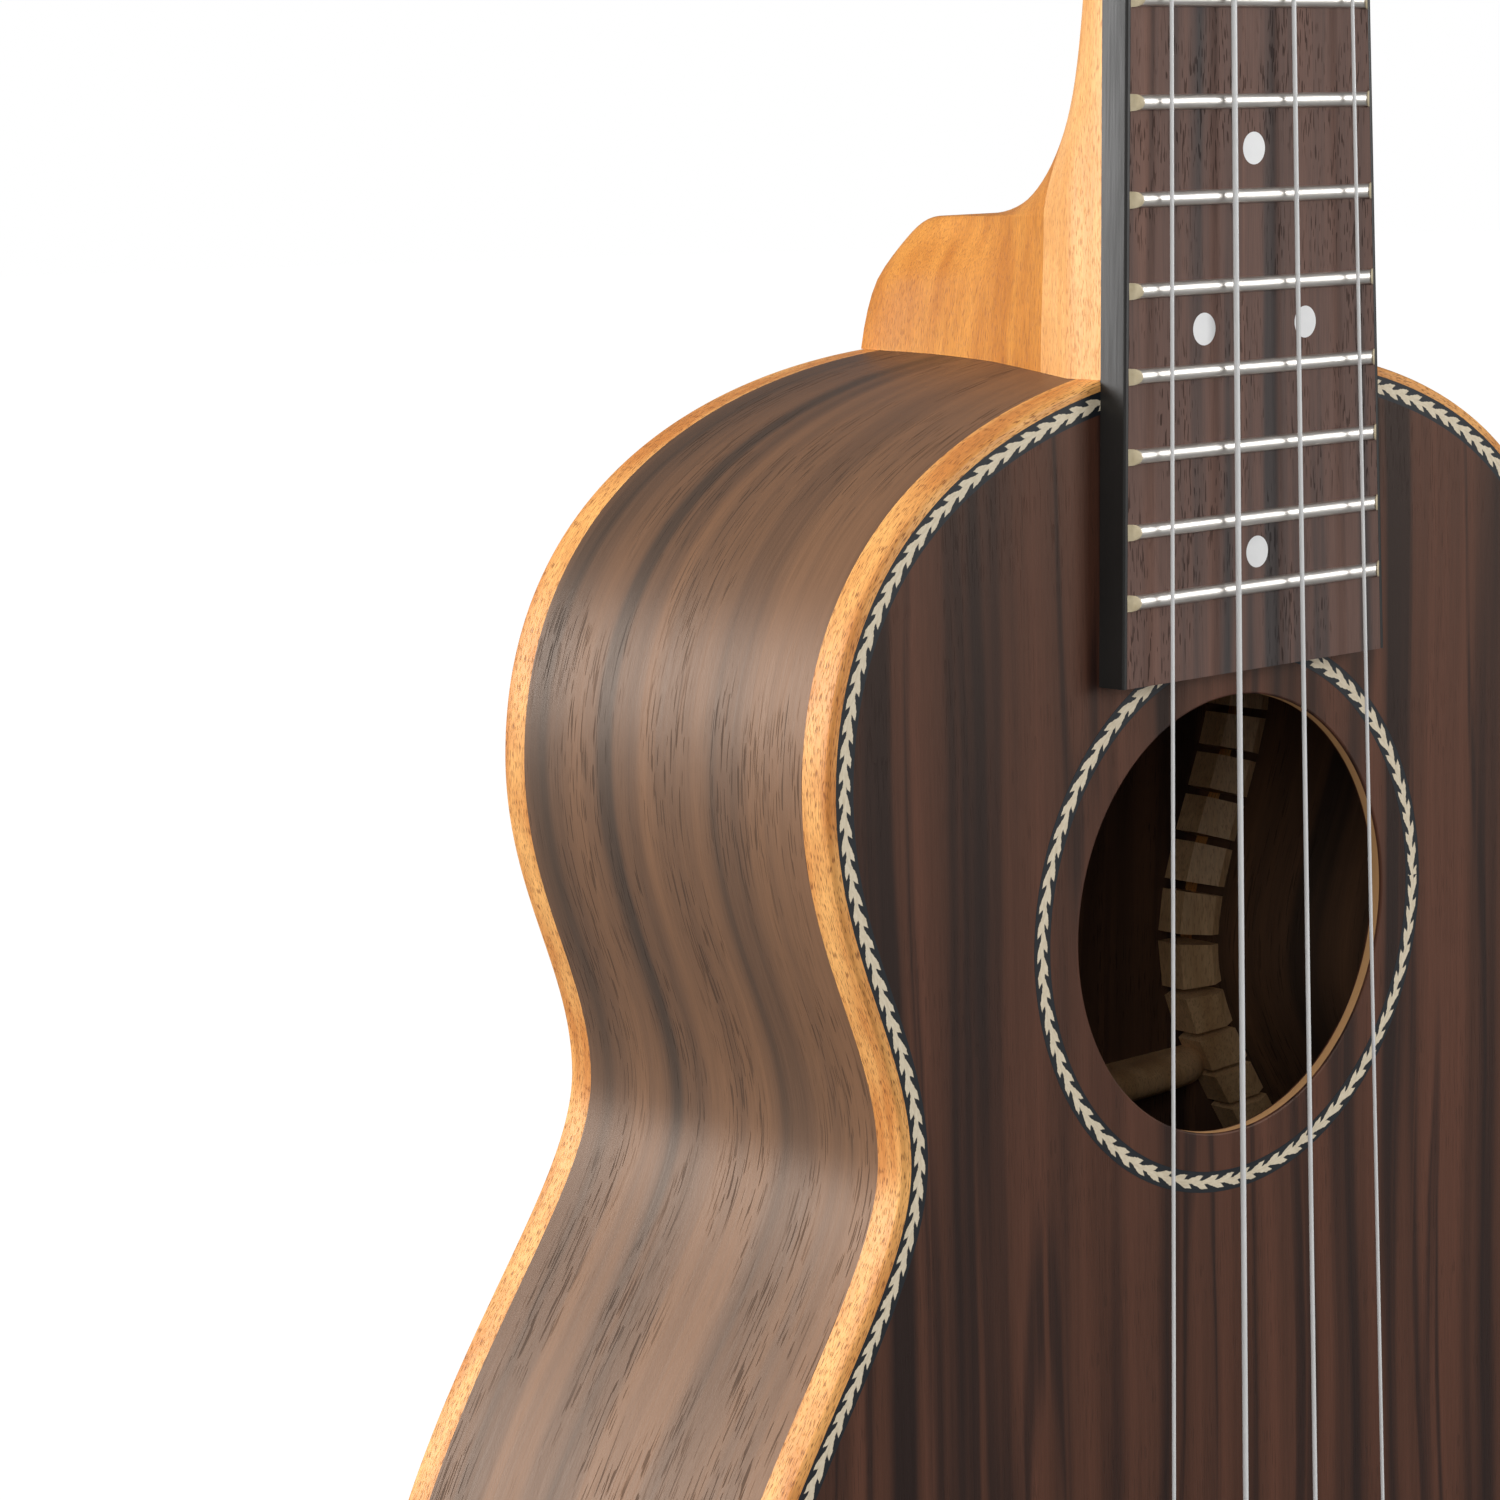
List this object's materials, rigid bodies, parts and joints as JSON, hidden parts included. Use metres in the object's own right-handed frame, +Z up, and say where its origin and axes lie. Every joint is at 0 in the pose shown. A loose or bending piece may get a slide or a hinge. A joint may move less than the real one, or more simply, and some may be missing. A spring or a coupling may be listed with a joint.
{
  "type": "concert ukulele",
  "caption": "Small fretted string instrument with a hollow figure-of-eight body, flat top with a round sound hole, bound edges and geared tuners.",
  "frame": {"origin": "where the front edge of the nut crosses the centre line, in the plane of the soundboard's outer face; a wall hanger's yoke holds the instrument here, under the ears of the headstock", "axes": "+Z up along the neck towards the headstock, +Y from the soundboard to the back, +X towards the treble side"},
  "size_m": [0.2128, 0.0837, 0.5991],
  "materials": {
    "top_rosewood": "satin, dark striped rosewood laminate",
    "rib_rosewood": "satin, grey-brown striped rosewood laminate with open pores",
    "back_rosewood": "satin, grey-brown striped rosewood laminate",
    "binding": "satin amber wood",
    "purfling": "cream and black leaf-pattern inlay",
    "neck_wood": "satin light reddish-brown wood",
    "heel_wood": "satin amber wood",
    "veneer_rosewood": "satin rosewood veneer",
    "inner_wood": "bare light wood",
    "fingerboard_rosewood": "oiled rosewood",
    "black_edge": "satin black strip",
    "fret_wire": "polished nickel silver",
    "bone": "polished bone",
    "string_nylon": "clear fluorocarbon",
    "tuner_metal": "nickel plate",
    "tuner_button": "pearl plastic"
  },
  "bodies": {
    "body": {"top_plate": "top_rosewood", "rib_left": "rib_rosewood", "rib_right": "rib_rosewood", "back_plate": "back_rosewood", "top_binding": "binding", "back_binding": "binding", "top_purfling": "purfling", "rosette": "purfling", "neck": "neck_wood", "heel": "heel_wood", "head_veneer": "veneer_rosewood", "neck_block": "inner_wood", "tail_block": "inner_wood", "top_lining_left": "inner_wood", "top_lining_right": "inner_wood", "back_lining_left": "inner_wood", "back_lining_right": "inner_wood", "top_brace_upper": "inner_wood", "top_brace_lower": "inner_wood", "back_brace_upper": "inner_wood", "back_brace_middle": "inner_wood", "back_brace_lower": "inner_wood", "bridge_plate": "inner_wood", "fingerboard": "fingerboard_rosewood", "bridge": "fingerboard_rosewood", "board_edge_left": "black_edge", "board_edge_right": "black_edge", "fret_01": "fret_wire", "fret_02": "fret_wire", "fret_03": "fret_wire", "fret_04": "fret_wire", "fret_05": "fret_wire", "fret_06": "fret_wire", "fret_07": "fret_wire", "fret_08": "fret_wire", "fret_09": "fret_wire", "fret_10": "fret_wire", "fret_11": "fret_wire", "fret_12": "fret_wire", "fret_13": "fret_wire", "fret_14": "fret_wire", "fret_15": "fret_wire", "nut": "bone", "saddle": "bone", "string_g": "string_nylon", "tuner_plate_g": "tuner_metal", "string_c": "string_nylon", "tuner_plate_c": "tuner_metal", "string_e": "string_nylon", "tuner_plate_e": "tuner_metal", "string_a": "string_nylon", "tuner_plate_a": "tuner_metal"},
    "button_g": {"tuner_button_g": "tuner_button"},
    "post_g": {"tuner_post_g": "tuner_metal"},
    "button_c": {"tuner_button_c": "tuner_button"},
    "post_c": {"tuner_post_c": "tuner_metal"},
    "button_e": {"tuner_button_e": "tuner_button"},
    "post_e": {"tuner_post_e": "tuner_metal"},
    "button_a": {"tuner_button_a": "tuner_button"},
    "post_a": {"tuner_post_a": "tuner_metal"}
  },
  "joints": [
    {"name": "turn_button_g", "type": "hinge", "parent": "body", "child": "button_g", "pos_m": [-0.026, 0.02502, 0.04524], "axis": [-1, 0, 0], "continuous": true},
    {"name": "turn_post_g", "type": "hinge", "parent": "body", "child": "post_g", "pos_m": [-0.016, 0.0079, 0.04167], "axis": [0, 0.9781, -0.2079], "continuous": true},
    {"name": "turn_button_c", "type": "hinge", "parent": "body", "child": "button_c", "pos_m": [-0.026, 0.03417, 0.08828], "axis": [-1, 0, 0], "continuous": true},
    {"name": "turn_post_c", "type": "hinge", "parent": "body", "child": "post_c", "pos_m": [-0.016, 0.01705, 0.08471], "axis": [0, 0.9781, -0.2079], "continuous": true},
    {"name": "turn_button_e", "type": "hinge", "parent": "body", "child": "button_e", "pos_m": [0.026, 0.03417, 0.08828], "axis": [1, 0, 0], "continuous": true},
    {"name": "turn_post_e", "type": "hinge", "parent": "body", "child": "post_e", "pos_m": [0.016, 0.01705, 0.08471], "axis": [0, 0.9781, -0.2079], "continuous": true},
    {"name": "turn_button_a", "type": "hinge", "parent": "body", "child": "button_a", "pos_m": [0.026, 0.02502, 0.04524], "axis": [1, 0, 0], "continuous": true},
    {"name": "turn_post_a", "type": "hinge", "parent": "body", "child": "post_a", "pos_m": [0.016, 0.0079, 0.04167], "axis": [0, 0.9781, -0.2079], "continuous": true}
  ],
  "couplings": [
    {"joint": "turn_post_g", "follows": "turn_button_g", "ratio": 0.071429},
    {"joint": "turn_post_c", "follows": "turn_button_c", "ratio": 0.071429},
    {"joint": "turn_post_e", "follows": "turn_button_e", "ratio": 0.071429},
    {"joint": "turn_post_a", "follows": "turn_button_a", "ratio": 0.071429}
  ]
}
